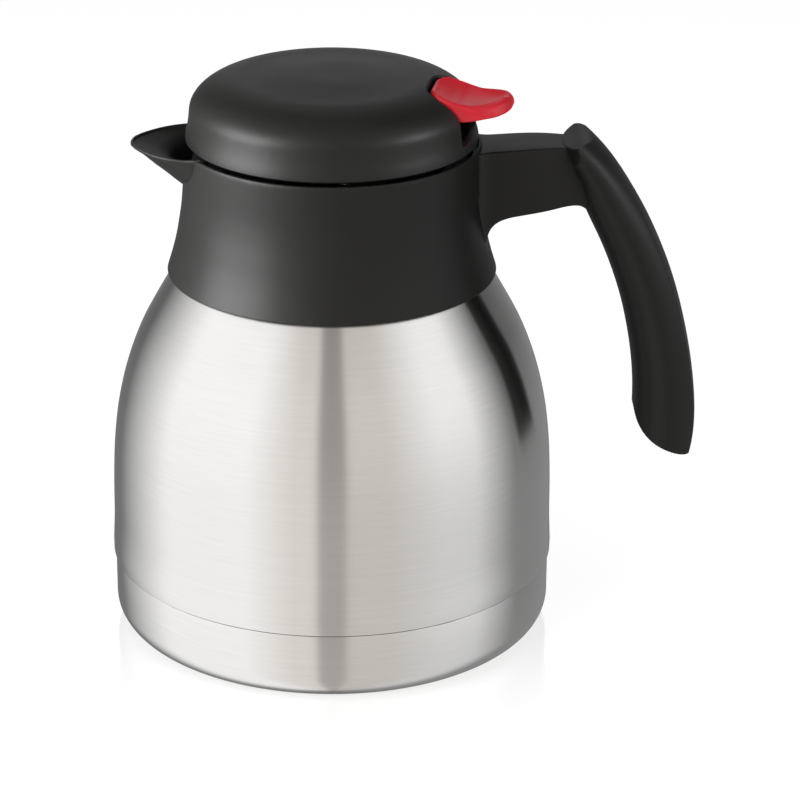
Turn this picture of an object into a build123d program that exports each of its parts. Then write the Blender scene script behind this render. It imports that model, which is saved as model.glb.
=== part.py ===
from build123d import *
import math
import os

# Thermal carafe with a press-lever pouring lid.
# Millimetres. Origin at the centre of the foot ring, +Z up, handle towards +X, spout towards -X.

# Steel body
SHELL_OUTLINE = [
    (67.8, 23.4), (67.8, 26), (67.45, 34), (67.3, 46), (66.75, 58), (65.3, 70), (62.5, 82),
    (58.3, 93.5), (53.1, 103.5), (47.6, 113), (44.9, 117), (42.2, 120.3), (39.5, 123.6), (38.3, 126),
]
SHELL_WALL = 0.7
NECK_R = 38.0
NECK_TOP = 136.0
SEAM_Z = 22.4
CUP_R = 67.15
CUP_WALL = 0.8
CUP_CORNER_R = 7.9
FOOT_RING_IN_R = 54.0
FOOT_RECESS = 1.4
BOTTOM_R = 66.1
BOTTOM_PLATE_Z = 9.0
LINER_OUTLINE = [
    (61.0, 32), (61.0, 50), (59.9, 62), (57.4, 74), (53.4, 86), (48.2, 97), (42.4, 107),
    (37.4, 115), (34.9, 120.5), (34.0, 126),
]
LINER_WALL = 0.6
LINER_FLOOR_Z = 16.0
LINER_CORNER_R = 14.0
MOUTH_R = 34.0
GETTER_R = 9.0
GETTER_T = 2.0
SEAL_R = 6.0
SEAL_T = 1.6

# Collar, spout and arm
COLLAR_BASE_Z = 112.9
COLLAR_LIP_R = 49.55
COLLAR_TOP_Z = 153.7
COLLAR_BORE_R = 41.9
COLLAR_OUTLINE = [
    (49.35, 114.1), (48.2, 117.8), (47.15, 121.8), (45.85, 128.5), (44.8, 136.5), (44.5, 144.5),
    (44.5, 152.9),
]
SPOUT_LIP = [
    (-38.0, 19.4), (-42.9, 17.5), (-47.0, 15.9), (-50.0, 14.2), (-52.7, 12.1),
    (-55.2, 9.4), (-57.5, 6.0), (-59.2, 2.8), (-59.9, 0.0),
]
# (height, tip of the outline, share of the lip's width)
SPOUT_HULL = [(138.8, -43.8, 0.16), (145.5, -51.5, 0.5), (150.9, -58.2, 0.92)]
SPOUT_WALL = 2.3
ARM_TOP = [(38.0, 151.9), (44.0, 152.05), (59.0, 152.95), (72.0, 152.7)]
ARM_UNDER = [
    (80.0, 126.8), (78.8, 128.9), (77.4, 131.1), (75.9, 133.2), (74.2, 134.4), (72.0, 134.7), (66.0, 133.75),
    (56.0, 132.1), (52.2, 131.3), (49.3, 130.0), (47.2, 127.8), (46.0, 124.2), (43.4, 120.0),
]
ARM_EDGE_R = 0.8
ARM_HALF = [
    (38.0, 17.0), (40.5, 14.2), (42.2, 12.0), (43.8, 10.4), (46.0, 9.3), (50.0, 8.95), (59.0, 8.6),
    (70.0, 7.1), (82.0, 6.2),
]

# Grip: (outer point, depth towards the jug, half width of the back, half width of the sides)
GRIP_STATIONS = [
    ((72.8, 159.0), 11.2, 8.3, 12.3), ((76.0, 156.3), 11.5, 8.4, 12.6), ((79.1, 153.3), 12.0, 8.5, 12.7),
    ((85.5, 145.5), 14.4, 8.7, 12.7), ((90.4, 137.8), 15.6, 8.9, 12.6), ((94.7, 130.1), 16.1, 9.1, 12.5),
    ((99.5, 119.7), 16.6, 9.4, 12.4), ((103.4, 109.2), 17.0, 9.7, 12.3), ((106.4, 98.5), 17.4, 10.0, 12.3),
    ((108.8, 87.5), 17.9, 10.2, 12.3), ((110.4, 76.9), 18.5, 10.2, 12.3), ((111.1, 66.2), 19.1, 10.0, 12.2),
    ((110.2, 56.2), 18.9, 9.6, 11.9), ((108.0, 46.5), 17.9, 9.2, 11.5),
]
GRIP_END = [
    (109.7, 56.3), (109.0, 55.9), (107.6, 55.8), (104.6, 56.6), (100.6, 58.3), (97.4, 60.2),
    (94.9, 62.6), (93.1, 65.6), (92.2, 69.0), (91.8, 73.0),
]
HOOD_EDGE_R = 0.7
HOOD_TOP = [
    (66.0, 152.5), (68.1, 152.95), (70.0, 153.45), (72.2, 154.25), (73.4, 154.8), (74.7, 155.15),
    (76.0, 155.1), (77.8, 154.4),
]
HOOD_UNDER = [
    (76.5, 131.8), (76.4, 133.5), (76.2, 135.6), (74.9, 141.0), (72.4, 145.6), (70.9, 149.4), (70.2, 151.2),
    (68.6, 152.2), (66.0, 152.5),
]
# Half of the hood's plan, from its tip towards the jug to the widest point
HOOD_PLAN = [(68.1, 0.0), (68.5, 4.3), (69.6, 7.9), (70.7, 10.2), (72.4, 12.2), (75.5, 13.6)]
GRIP_WALL = 2.4
GRIP_BULGE = 1.0
COVER_T = 2.0
HANDLE_SCREW_Z = (138.0, 144.4)
HANDLE_SCREW_HEAD_R = 2.6
HANDLE_SCREW_HEAD_T = 1.6
HANDLE_SCREW_R = 1.6
HANDLE_SCREW_LENGTH = 14.6

# Neck ring and screw thread: three starts, the lid rises as it turns anticlockwise
RING_R = 41.8
RING_TOP_Z = 147.0
RING_SEAT_Z = 137.4
THREAD_LEAD = 18.0
THREAD_STARTS = 3
RIB_R = 32.3
RIB_T = 1.6
RIB_Z = 140.8
RIB_ARC = 90.0
LUG_R = 33.6
LUG_ARC = 30.0
LUG_GAP = 0.35
PLUG_R = 31.9
PLUG_WALL = 1.9
PLUG_BASE_Z = 127.0
PLUG_BASE_T = 2.0
SEAT_R = 11.0
WINDOW_Z = (147.8, 152.6)
GASKET_Z = (130.4, 133.4)
GASKET_R = 33.7
GROOVE_R = 30.9

# Lid
LID_YAW = -11.0
LID_BASE_Z = 154.3
LID_R = 43.6
LID_SHOULDER_R = 42.4
LID_SHOULDER_Z = 162.7
LID_SHOULDER_A = 17.4
LID_SHOULDER_B = 10.4
LID_CROWN = 1.35
LID_WALL = 2.2
LID_EDGE = 0.5
FLOOR_R = 40.8
FLOOR_T = 2.0
SILL_Z = 157.4
RECESS_S = 29.2
RECESS_HALF = 11.8
RECESS_CORNER_R = 7.5
RECESS_EDGE_R = 0.5

# Thumb lever, in the lid's own frame: s outwards, t across, z up
PIVOT_S = 33.0
PIVOT_Z = 160.8
PIN_R = 1.5
PIN_LENGTH = 20.0
PIN_CLEARANCE = 0.05
BOSS_R = 3.2
EAR_T = 2.6
EAR_R = 3.2
EAR_IN = 6.6
# (s, half width on top, half width below, top edge z, lower z, dish depth)
PAD_STATIONS = [
    (30.0, 5.2, 6.4, 170.3, 168.2, 0.3), (30.7, 7.3, 8.6, 171.0, 167.2, 0.6),
    (32.3, 8.4, 10.2, 171.6, 166.4, 1.0), (36.0, 9.0, 11.3, 171.3, 165.2, 1.2),
    (40.0, 9.0, 11.4, 170.3, 164.55, 1.2), (43.0, 9.0, 11.3, 169.6, 164.85, 1.2),
    (47.0, 8.6, 10.6, 169.5, 165.6, 1.1), (50.2, 7.4, 9.3, 169.4, 166.1, 0.9),
    (52.6, 5.4, 6.9, 169.1, 166.6, 0.6), (54.0, 3.0, 3.8, 168.6, 167.1, 0.2),
]
FORK_Z = 160.8
FORK_R = 1.4
FORK_IN = 3.0
FORK_T = 2.6

# Pouring valve
ROD_R = 2.4
ROD_TOP_Z = 163.85
GUIDE_R = 2.46
HEAD_R = 6.2
HEAD_T = 1.4
VALVE_R = 15.5
VALVE_Z = 131.0
VALVE_T = 2.0
VALVE_HUB_R = 4.6
VALVE_HUB_Z = 137.0
SEAL_PAD_R = 15.0
SPRING_R = 6.4
SPRING_WIRE_R = 0.55
SPRING_TURNS = 6
SPRING_TOP_Z = LID_BASE_Z
LID_SCREW_R = 1.5
LID_SCREW_HEAD_R = 2.7
LID_SCREW_LENGTH = 8.0
LID_BOSS_R = 3.2
LID_SCREW_ORBIT = 36.0
LID_SCREW_ANGLES = (90.0, 180.0, 270.0)


def turned(edges):
    """Solid of revolution about Z from closed (radius, height) edges."""
    face = make_face(Plane.XZ * Wire(edges))
    return revolve(face, Axis.Z, 360)


def turned_polygon(points):
    return turned(Polyline(*points, close=True).edges())


def tube(r_out, r_in, z0, z1):
    outer = Pos(0, 0, z0) * Cylinder(r_out, z1 - z0, align=(Align.CENTER, Align.CENTER, Align.MIN))
    if r_in <= 0:
        return outer
    bore = Cylinder(r_in, z1 - z0 + 2, align=(Align.CENTER, Align.CENTER, Align.MIN))
    return outer - Pos(0, 0, z0 - 1) * bore


def inset(points, t):
    """Move an open (radius, height) outline towards the axis by t, along its normals."""
    moved = []
    for i, (r, z) in enumerate(points):
        r0, z0 = points[max(i - 1, 0)]
        r1, z1 = points[min(i + 1, len(points) - 1)]
        length = math.hypot(r1 - r0, z1 - z0)
        moved.append((r - t * (z1 - z0) / length, z + t * (r1 - r0) / length))
    return moved


def lid_frame(shape):
    """From the lever's own frame to the row frame."""
    return Rot(0, 0, LID_YAW) * shape


def outer_shell():
    outer = SHELL_OUTLINE
    inner = inset(outer, SHELL_WALL)
    inner[-1] = (NECK_R - SHELL_WALL, 126.3)
    neck_in = NECK_R - SHELL_WALL
    edges = [
        Line((outer[0][0] - SHELL_WALL, SEAM_Z), (outer[0][0] - 0.3, SEAM_Z)),
        Line((outer[0][0] - 0.3, SEAM_Z), (outer[0][0], SEAM_Z + 0.3)),
        Line((outer[0][0], SEAM_Z + 0.3), outer[0]),
        Spline(*outer),
        Line(outer[-1], (NECK_R, 127.5)),
        Line((NECK_R, 127.5), (NECK_R, NECK_TOP - LINER_WALL)),
        Line((NECK_R, NECK_TOP - LINER_WALL), (neck_in, NECK_TOP - LINER_WALL)),
        Line((neck_in, NECK_TOP - LINER_WALL), inner[-1]),
        Spline(*inner),
        Line(inner[0], (outer[0][0] - SHELL_WALL, SEAM_Z)),
    ]
    return turned(edges)


def base_cup():
    c = CUP_CORNER_R
    r = CUP_R
    w = CUP_WALL
    step = 2.0
    mid = math.sin(math.radians(45))
    edges = [
        Line((0, FOOT_RECESS), (FOOT_RING_IN_R, FOOT_RECESS)),
        Line((FOOT_RING_IN_R, FOOT_RECESS), (FOOT_RING_IN_R + step, 0)),
        Line((FOOT_RING_IN_R + step, 0), (r - c, 0)),
        ThreePointArc((r - c, 0), (r - c + c * mid, c - c * mid), (r, c)),
        Line((r, c), (r, SEAM_Z - 0.1)),
        Line((r, SEAM_Z - 0.1), (r - w, SEAM_Z - 0.1)),
        Line((r - w, SEAM_Z - 0.1), (r - w, c)),
        ThreePointArc(
            (r - w, c),
            (r - c + (c - w) * mid, c - (c - w) * mid),
            (r - c, w),
        ),
        Line((r - c, w), (FOOT_RING_IN_R + step + 0.4, w)),
        Line((FOOT_RING_IN_R + step + 0.4, w), (FOOT_RING_IN_R + 0.4, FOOT_RECESS + w)),
        Line((FOOT_RING_IN_R + 0.4, FOOT_RECESS + w), (0, FOOT_RECESS + w)),
        Line((0, FOOT_RECESS + w), (0, FOOT_RECESS)),
    ]
    return turned(edges)


def outer_bottom():
    """Vacuum-tight bottom welded inside the shell; the base cup is pressed over its lower wall."""
    top_r = SHELL_OUTLINE[0][0] - SHELL_WALL
    t = 0.7
    z = BOTTOM_PLATE_Z
    points = [
        (0, z), (BOTTOM_R - 6, z), (BOTTOM_R, z + 3), (BOTTOM_R, SEAM_Z), (top_r, SEAM_Z), (top_r, 25.9),
        (top_r - t, 25.9), (top_r - t, SEAM_Z + t), (BOTTOM_R - t, SEAM_Z + t), (BOTTOM_R - t, z + 3 + 0.3),
        (BOTTOM_R - 6.2, z + t), (0, z + t),
    ]
    return turned_polygon(points)


def vacuum_seal():
    return tube(SEAL_R, 0, BOTTOM_PLATE_Z - SEAL_T, BOTTOM_PLATE_Z)


def inner_liner():
    inner = LINER_OUTLINE
    outer = inset(inner, -LINER_WALL)
    outer[-1] = (MOUTH_R + LINER_WALL, 126.1)
    c = LINER_CORNER_R
    r = inner[0][0]
    z = LINER_FLOOR_Z
    w = LINER_WALL
    mid = math.sin(math.radians(45))
    edges = [
        Line((0, z - w), (r - c, z - w)),
        ThreePointArc((r - c, z - w), (r - c + (c + w) * mid, z + c - (c + w) * mid), (r + w, z + c)),
        Line((r + w, z + c), outer[0]),
        Spline(*outer),
        Line(outer[-1], (MOUTH_R + w, NECK_TOP - w)),
        Line((MOUTH_R + w, NECK_TOP - w), (NECK_R, NECK_TOP - w)),
        Line((NECK_R, NECK_TOP - w), (NECK_R, NECK_TOP)),
        Line((NECK_R, NECK_TOP), (MOUTH_R, NECK_TOP)),
        Line((MOUTH_R, NECK_TOP), inner[-1]),
        Spline(*inner),
        Line(inner[0], (r, z + c)),
        ThreePointArc((r, z + c), (r - c + c * mid, z + c - c * mid), (r - c, z)),
        Line((r - c, z), (0, z)),
        Line((0, z), (0, z - w)),
    ]
    return turned(edges)


def getter():
    top = LINER_FLOOR_Z - LINER_WALL
    return tube(GETTER_R, 0, top - GETTER_T, top)


def collar_wall():
    top_r = COLLAR_OUTLINE[-1][0]
    top_z = COLLAR_OUTLINE[-1][1]
    under = [(47.8, COLLAR_BASE_Z), (45.1, 117.1), (42.4, 120.45), (39.7, 123.75), (38.5, 126.0)]
    edges = [
        Line((COLLAR_LIP_R - 0.7, COLLAR_BASE_Z), (COLLAR_LIP_R - 0.2, COLLAR_BASE_Z + 0.15)),
        Line((COLLAR_LIP_R - 0.2, COLLAR_BASE_Z + 0.15), (COLLAR_LIP_R, COLLAR_BASE_Z + 0.5)),
        Line((COLLAR_LIP_R, COLLAR_BASE_Z + 0.5), COLLAR_OUTLINE[0]),
        Spline(*COLLAR_OUTLINE),
        Line((top_r, top_z), (top_r - 0.25, COLLAR_TOP_Z - 0.25)),
        Line((top_r - 0.25, COLLAR_TOP_Z - 0.25), (top_r - 0.8, COLLAR_TOP_Z)),
        Line((top_r - 0.8, COLLAR_TOP_Z), (COLLAR_BORE_R, COLLAR_TOP_Z)),
        Line((COLLAR_BORE_R, COLLAR_TOP_Z), (COLLAR_BORE_R, 127.5)),
        Line((COLLAR_BORE_R, 127.5), (38.5, 127.5)),
        Line((38.5, 127.5), under[-1]),
        Polyline(*under),
        Line(under[0], (COLLAR_LIP_R - 0.7, COLLAR_BASE_Z)),
    ]
    flat = []
    for e in edges:
        flat.extend(e.edges())
    return turned(flat)


def mirrored(half):
    """Closed-over outline from one half that ends on the symmetry plane."""
    return half + [(x, -y) for x, y in half[:-1]][::-1]


def spout_section(t, z):
    """Spout outline at height z, moved in by t all round."""
    points = inset(mirrored(SPOUT_LIP), t)
    return Plane.XY.offset(z) * make_face([Spline(*points), Line(points[-1], points[0])])


def hull_section(z, tip, share, t):
    """Lip outline drawn in to a tip and a share of its width, then moved in by t."""
    root = SPOUT_LIP[0][0]
    reach = (tip - root) / (SPOUT_LIP[-1][0] - root)
    points = inset(mirrored([(root + (x - root) * reach, y * share) for x, y in SPOUT_LIP]), t)
    return Plane.XY.offset(z) * make_face([Spline(*points), Line(points[-1], points[0])])


def spout_solid():
    sections = [hull_section(z, tip, share, 0) for z, tip, share in SPOUT_HULL]
    sections.append(spout_section(0.0, COLLAR_TOP_Z - 1.7))
    sections.append(spout_section(0.2, COLLAR_TOP_Z - 0.4))
    sections.append(spout_section(0.8, COLLAR_TOP_Z))
    return loft(sections, ruled=True)


def spout_channel():
    """Open channel inside the spout: a sloping floor and walls of even thickness."""
    sections = [
        hull_section(SPOUT_HULL[0][0] + 4.2, SPOUT_HULL[0][1] - 1.0, 0.12, 0),
        hull_section(SPOUT_HULL[1][0] + 3.2, SPOUT_HULL[1][1] - 0.4, 0.42, 0),
        spout_section(SPOUT_WALL, COLLAR_TOP_Z - 0.8),
        spout_section(SPOUT_WALL - 0.5, COLLAR_TOP_Z),
        spout_section(SPOUT_WALL - 0.5, COLLAR_TOP_Z + 1.0),
    ]
    return loft(sections, ruled=True)


def arm():
    end = Polyline(ARM_TOP[-1], (76.0, 149.0), (79.5, 142.5), ARM_UNDER[0])
    edges = [Spline(*ARM_TOP), *end.edges(), Spline(*ARM_UNDER), Line(ARM_UNDER[-1], ARM_TOP[0])]
    side = Plane.XZ * make_face(edges)
    block = Pos(0, 20, 0) * extrude(side, 40)
    far = ARM_HALF
    near = [(x, -y) for x, y in ARM_HALF]
    plan = make_face([Spline(*far), Spline(*near), Line(far[0], near[0]), Line(far[-1], near[-1])])
    body = block & Pos(0, 0, 115) * extrude(plan, 45)
    long_edges = [e for e in body.edges() if e.length > 30 and (e @ 0.5).X > 46 and abs((e @ 0.5).Y) > 3]
    return fillet(long_edges, ARM_EDGE_R)


def station_plane(i):
    """Plane across the grip at station i: x from the jug side to the back, y across."""
    bx, bz = GRIP_STATIONS[i][0]
    x0, z0 = GRIP_STATIONS[max(i - 1, 0)][0]
    x1, z1 = GRIP_STATIONS[min(i + 1, len(GRIP_STATIONS) - 1)][0]
    length = math.hypot(x1 - x0, z1 - z0)
    nx = -(z1 - z0) / length
    nz = (x1 - x0) / length
    depth = GRIP_STATIONS[i][1]
    origin = (bx - depth * nx, 0, bz - depth * nz)
    return Plane(origin=origin, x_dir=(nx, 0, nz), z_dir=(nz, 0, -nx))


def grip_section(i, t):
    """Section of the grip moved in by t: convex back, bulging sides, rounded front."""
    depth, back, side = GRIP_STATIONS[i][1:]
    length = depth - 2 * t
    b = back - t
    s = side - t
    edge_x = length - GRIP_BULGE
    shoulder = (edge_x * 0.86, b + (s - b) * 0.62)
    right = [(edge_x, b), shoulder, (edge_x * 0.52, s), (edge_x * 0.17, s * 0.74), (0, 0)]
    left = [(x, -y) for x, y in right][::-1]
    edges = [
        ThreePointArc(left[-1], (length, 0), right[0]),
        Spline(*right, tangents=[(-0.6, 1.0), (0, -1)], tangent_scalars=[0.6, 1.2]),
        Spline(*left, tangents=[(0, -1), (0.6, 1.0)], tangent_scalars=[1.2, 0.6]),
    ]
    return station_plane(i) * Pos(t, 0, 0) * make_face(edges)


def cover_section(i, half_inset, depth_in, rise):
    """Rectangle across the back of the grip: from depth_in below its edges to rise above its crown."""
    depth, back = GRIP_STATIONS[i][1:3]
    b = back - half_inset
    x0 = depth - GRIP_BULGE - depth_in
    x1 = depth + rise
    return station_plane(i) * make_face(Polyline((x0, -b), (x1, -b), (x1, b), (x0, b), close=True).edges())


def grip_outline():
    """Side view that trims the grip's hooded top and its slanted end."""
    end = GRIP_END
    edges = [
        Spline(*HOOD_TOP),
        Line(HOOD_TOP[-1], (90, 160)),
        Line((90, 160), (120, 120)),
        Line((120, 120), (116, 52)),
        Line((116, 52), end[0]),
        Spline(*end),
        Line(end[-1], (84, 77)),
        Line((84, 77), (70, 128)),
        Line((70, 128), HOOD_UNDER[0]),
        Spline(*HOOD_UNDER),
    ]
    return Pos(0, 20, 0) * extrude(Plane.XZ * make_face(edges), 40)


def hood_plan():
    """Plan view that rounds the hood's end towards the jug."""
    half = HOOD_PLAN[::-1]
    tip = Spline(*mirrored(half))
    width = HOOD_PLAN[-1][1]
    edges = [
        tip,
        Line(tip @ 1, (125, -width)),
        Line((125, -width), (125, width)),
        Line((125, width), tip @ 0),
    ]
    return Pos(0, 0, 40) * extrude(make_face(edges), 130)


def grip_body():
    sections = [grip_section(i, 0) for i in range(len(GRIP_STATIONS))]
    body = loft(sections) & grip_outline() & hood_plan()
    rim = [e for e in body.edges() if (e @ 0.5).Z > 152.6 and (e @ 0.5).X < 74]
    return fillet(rim, HOOD_EDGE_R)


def grip_cover_space():
    return loft([cover_section(i, 0.6, COVER_T, 3.0) for i in range(1, len(GRIP_STATIONS))])


def grip_hollow():
    """Room inside the grip, open to the back cover."""
    core = loft([grip_section(i, GRIP_WALL) for i in range(2, len(GRIP_STATIONS) - 2)])
    back = loft([cover_section(i, 2.4, 4.0, 2.0) for i in range(2, len(GRIP_STATIONS) - 2)])
    return core + back


def rod_x(r, x0, x1, z):
    """Round rod along X at height z."""
    rod = Cylinder(r, x1 - x0, align=(Align.CENTER, Align.CENTER, Align.MIN))
    return Pos(x0, 0, z) * Rot(0, 90, 0) * rod


def screw_axis_holes(r, x0, x1):
    holes = []
    for z in HANDLE_SCREW_Z:
        holes.append(rod_x(r, x0, x1, z))
    return holes


def collar():
    body = collar_wall() + spout_solid() + (arm() - grip_body())
    body -= spout_channel()
    body -= tube(COLLAR_BORE_R, 0, 127.5, COLLAR_TOP_Z + 2)
    for hole in screw_axis_holes(HANDLE_SCREW_R, 62.0, 90.0):
        body -= hole
    return body


def screw_head_x(z):
    return 77.6 + (144.4 - z) * 0.3


def grip_front():
    outer = grip_body()
    body = outer - grip_hollow() - grip_cover_space()
    for z in HANDLE_SCREW_Z:
        boss = rod_x(3.4, 70.0, screw_head_x(z), z)
        body += boss & outer
    for hole in screw_axis_holes(HANDLE_SCREW_R, 62.0, 82.0):
        body -= hole
    return body


def grip_back():
    return grip_body() & grip_cover_space()


def handle_screws():
    """Two identical self-tapping screws from inside the grip into the arm."""
    screws = []
    for z in HANDLE_SCREW_Z:
        head_x = screw_head_x(z)
        shank = rod_x(HANDLE_SCREW_R, head_x - HANDLE_SCREW_LENGTH, head_x, z)
        head = rod_x(HANDLE_SCREW_HEAD_R, head_x, head_x + HANDLE_SCREW_HEAD_T, z)
        screws.append(shank + head)
    return Compound(children=screws)


def helical_arc(r_in, r_out, z_low, thickness, start_deg, arc_deg):
    """Screw-thread segment that rises anticlockwise with the thread's lead."""
    steps = max(int(round(arc_deg / 7.5)), 2)
    sections = []
    for i in range(steps + 1):
        a = start_deg + arc_deg * i / steps
        z = z_low + THREAD_LEAD * arc_deg * i / steps / 360.0
        section = Plane.XZ * make_face(Polyline((r_in, z), (r_out, z), (r_out, z + thickness), (r_in, z + thickness),
                                                close=True).edges())
        sections.append(Rot(0, 0, a) * section)
    return loft(sections, ruled=True)


def neck_ring():
    points = [
        (38.3, 127.6), (RING_R, 127.6), (RING_R, RING_TOP_Z), (MOUTH_R, RING_TOP_Z), (MOUTH_R, RING_SEAT_Z),
        (38.3, RING_SEAT_Z),
    ]
    ring = turned_polygon(points)
    for i in range(THREAD_STARTS):
        start = LID_YAW + i * 360.0 / THREAD_STARTS
        ring += helical_arc(RIB_R, MOUTH_R + 0.4, RIB_Z, RIB_T, start, RIB_ARC)
    return ring


def neck_gasket():
    return tube(37.8, 34.8, NECK_TOP, RING_SEAT_Z)


def lid_profile(t):
    """Outer edges of the lid moved in by t, from the base up to the centre of the crown."""
    a = LID_SHOULDER_A - t
    b = LID_SHOULDER_B - t
    z = LID_SHOULDER_Z
    flat_r = LID_SHOULDER_R - t - a
    arc = [(flat_r + a * math.cos(math.radians(u)), z + b * math.sin(math.radians(u))) for u in range(0, 91, 10)]
    top = z + b + LID_CROWN
    return arc + [(flat_r * 0.5, top - 0.3), (0, top)]


def lid_solid(t, z0):
    upper = lid_profile(t)
    base = LID_R - t
    low = (base, z0 + LID_EDGE)
    waist = (upper[0][0] + (base - upper[0][0]) * 0.45, z0 + (LID_SHOULDER_Z - LID_BASE_Z) * 0.5)
    edges = [
        Line((0, z0), (base - LID_EDGE, z0)),
        Line((base - LID_EDGE, z0), low),
        Spline(low, waist, *upper, tangents=[(-0.05, 1), (-1, 0)]),
        Line(upper[-1], (0, z0)),
    ]
    return turned(edges)


def recess_cutter(grow, z0):
    """Slot through the lid's rear wall and shoulder that the thumb lever sits in."""
    half = RECESS_HALF + grow
    s0 = RECESS_S - grow
    r = RECESS_CORNER_R
    plan = make_face(Polyline((s0, -half), (70, -half), (70, half), (s0, half), close=True).edges())
    corners = [v for v in plan.vertices() if v.X < s0 + 1]
    plan = fillet(corners, r)
    return lid_frame(Pos(0, 0, z0) * extrude(plan, 30))


def recess_rim(body):
    """Edges where the lever recess breaks through the lid's outer surface."""
    rim = []
    for e in body.edges():
        x, y, z = e @ 0.5
        on_side = x > 20 and z > SILL_Z - 0.1
        upright = abs((e @ 0).X - (e @ 1).X) + abs((e @ 0).Y - (e @ 1).Y) < 0.01
        inner = z < SILL_Z + 0.1 and math.hypot(x, y) < LID_R - 2.5
        if on_side and not upright and not inner:
            rim.append(e)
    return rim


def lid_dome():
    outer = lid_solid(0, LID_BASE_Z) - recess_cutter(0, SILL_Z)
    outer = fillet(recess_rim(outer), RECESS_EDGE_R)
    body = outer - lid_solid(LID_WALL, LID_BASE_Z - 1)
    inside = lid_solid(LID_WALL * 0.5, LID_BASE_Z)
    for x, y in lid_screw_points():
        boss = Pos(x, y, 0) * tube(LID_BOSS_R, LID_SCREW_R, LID_BASE_Z + FLOOR_T, LID_BASE_Z + LID_SHOULDER_B + 9.0)
        body += boss & inside
    return body


def lid_screw_points():
    points = []
    for a in LID_SCREW_ANGLES:
        rad = math.radians(a + LID_YAW)
        points.append((LID_SCREW_ORBIT * math.cos(rad), LID_SCREW_ORBIT * math.sin(rad)))
    return points


def lid_plug():
    """Floor of the lid with the screw plug under it, the valve seat and the lever's two ears."""
    z1 = LID_BASE_Z + FLOOR_T
    body = tube(FLOOR_R, 0, LID_BASE_Z, z1)
    body += tube(PLUG_R, PLUG_R - PLUG_WALL, PLUG_BASE_Z, LID_BASE_Z)
    body += tube(PLUG_R - 0.5, SEAT_R, PLUG_BASE_Z, PLUG_BASE_Z + PLUG_BASE_T)
    body -= tube(PLUG_R + 1, GROOVE_R, GASKET_Z[0] - 0.05, GASKET_Z[1] + 0.05)
    body += tube(5.0, 0, 150.0, z1 + 1.0)
    for i in range(6):
        window = Pos(PLUG_R, 0, (WINDOW_Z[0] + WINDOW_Z[1]) / 2) * Box(14, 22, WINDOW_Z[1] - WINDOW_Z[0])
        body -= Rot(0, 0, LID_YAW + 30 + 60 * i) * window
    for i in range(THREAD_STARTS):
        start = LID_YAW + 2.0 + i * 360.0 / THREAD_STARTS
        z = RIB_Z - LUG_GAP - RIB_T + THREAD_LEAD * 2.0 / 360.0
        body += helical_arc(PLUG_R - 0.4, LUG_R, z, RIB_T, start, LUG_ARC)
    for side in (-1, 1):
        ear = Pos(PIVOT_S, side * (EAR_IN + EAR_T / 2), (z1 + PIVOT_Z) / 2) * Box(2 * EAR_R, EAR_T, PIVOT_Z - z1)
        top = Pos(PIVOT_S, side * (EAR_IN + EAR_T / 2), PIVOT_Z) * Rot(90, 0, 0) * Cylinder(EAR_R, EAR_T)
        body += lid_frame(ear + top)
    body -= lid_frame(Pos(PIVOT_S, 0, PIVOT_Z) * Rot(90, 0, 0) * Cylinder(PIN_R, 40))
    body -= tube(GUIDE_R, 0, 140, 160)
    for x, y in lid_screw_points():
        body -= Pos(x, y, 0) * tube(LID_SCREW_R, 0, LID_BASE_Z - 1, z1 + 1)
    return body


def plug_gasket():
    return tube(GASKET_R, GROOVE_R + 0.3, *GASKET_Z)


def lid_screws():
    """Three identical screws up through the floor into the dome's bosses."""
    screws = []
    for x, y in lid_screw_points():
        shank = tube(LID_SCREW_R, 0, LID_BASE_Z, LID_BASE_Z + LID_SCREW_LENGTH)
        head = tube(LID_SCREW_HEAD_R, 0, LID_BASE_Z - 1.6, LID_BASE_Z)
        screws.append(Pos(x, y, 0) * (shank + head))
    return Compound(children=screws)


def lever_pin():
    return lid_frame(Pos(PIVOT_S, 0, PIVOT_Z) * Rot(90, 0, 0) * Cylinder(PIN_R, PIN_LENGTH))


def pad_section(s, top_half, low_half, top_z, low_z, dish):
    edges = [
        ThreePointArc((-top_half, top_z), (0, top_z - dish), (top_half, top_z)),
        ThreePointArc((top_half, top_z), (top_half * 0.35 + low_half * 0.65 - 0.25, (top_z + low_z) / 2),
                      (low_half, low_z + 0.4)),
        Line((low_half, low_z + 0.4), (low_half - 0.5, low_z)),
        Line((low_half - 0.5, low_z), (0.5 - low_half, low_z)),
        Line((0.5 - low_half, low_z), (-low_half, low_z + 0.4)),
        ThreePointArc((-low_half, low_z + 0.4), (-top_half * 0.35 - low_half * 0.65 + 0.25, (top_z + low_z) / 2),
                      (-top_half, top_z)),
    ]
    return Plane(origin=(s, 0, 0), x_dir=(0, 1, 0), z_dir=(1, 0, 0)) * make_face(edges)


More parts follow.
